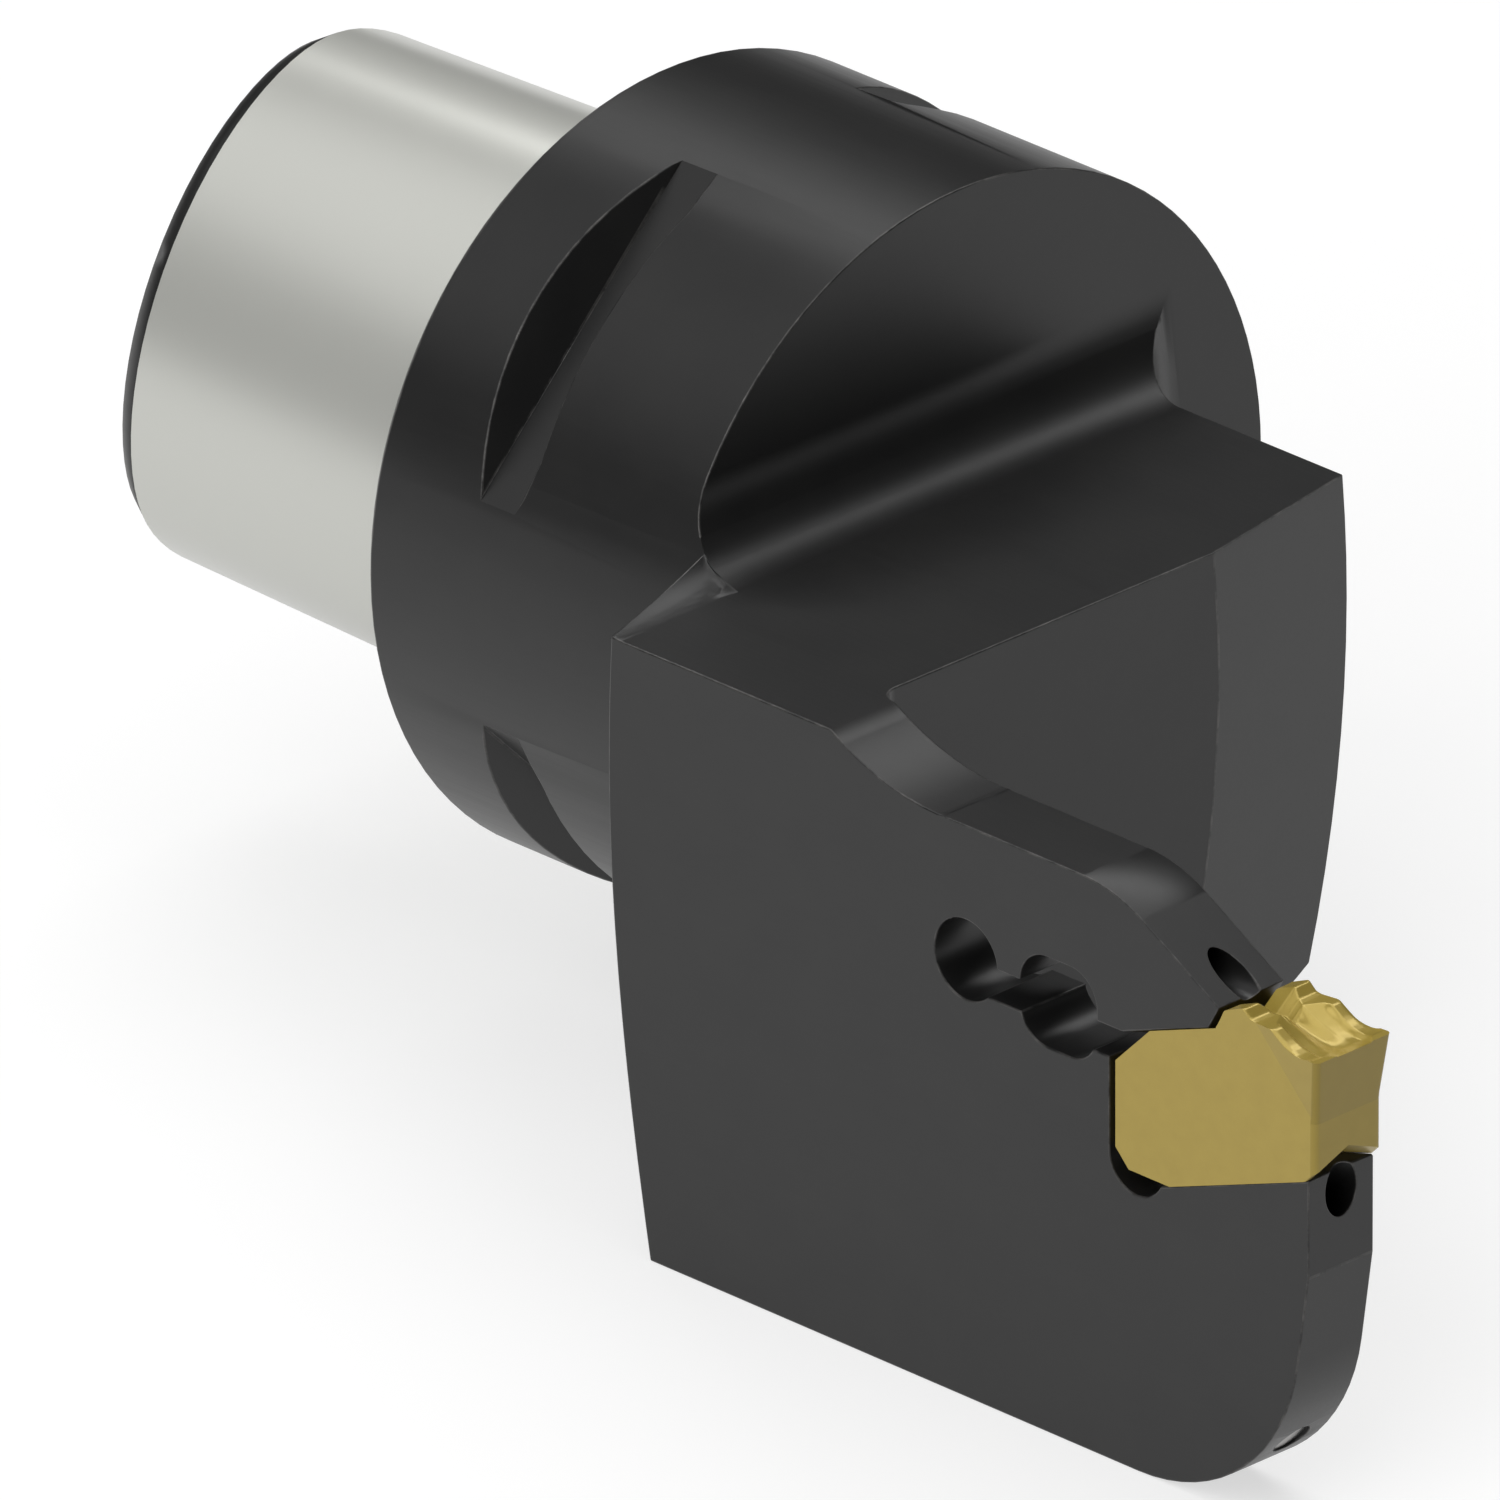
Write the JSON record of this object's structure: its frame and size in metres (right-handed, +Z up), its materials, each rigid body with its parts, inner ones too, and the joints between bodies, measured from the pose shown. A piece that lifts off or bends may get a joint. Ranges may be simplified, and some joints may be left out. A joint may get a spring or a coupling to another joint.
{
  "type": "parting and grooving tool holder",
  "caption": "One-piece turning holder: polygon taper shank, gripper flange, offset head and thin blade whose spring finger clamps a slide-in parting insert.",
  "frame": {"origin": "centre of the gauge face, where the shank's axis meets the flange's rear face", "axes": "+X along the shank's axis towards the cutting edge, Y across with the blade on the -Y side, +Z up, square to the rake side of the insert"},
  "size_m": [0.094, 0.047, 0.045],
  "materials": {
    "black_steel": "black oxide on hardened steel, taper ground bright",
    "coated_carbide": "gold nitride coating on sintered carbide",
    "bright_steel": "plain machined steel"
  },
  "bodies": {
    "holder": {"holder_body": "black_steel", "blade_corner_plug": "bright_steel", "cross_channel_plug": "bright_steel"},
    "finger": {"clamp_finger": "black_steel"},
    "insert": {"cutting_insert": "coated_carbide"}
  },
  "joints": [
    {"name": "finger_flex", "type": "hinge", "parent": "holder", "child": "finger", "pos_m": [0.04672, -0.0245, 0.00205], "axis": [0, -1, 0], "range_deg": [0, 1.2], "stiffness_Nm_per_rad": 0.03, "springref_deg": -1.15},
    {"name": "insert_slide", "type": "slide", "parent": "holder", "child": "insert", "axis": [0.9397, 0, 0.342], "range_m": [0, 0.016]}
  ]
}
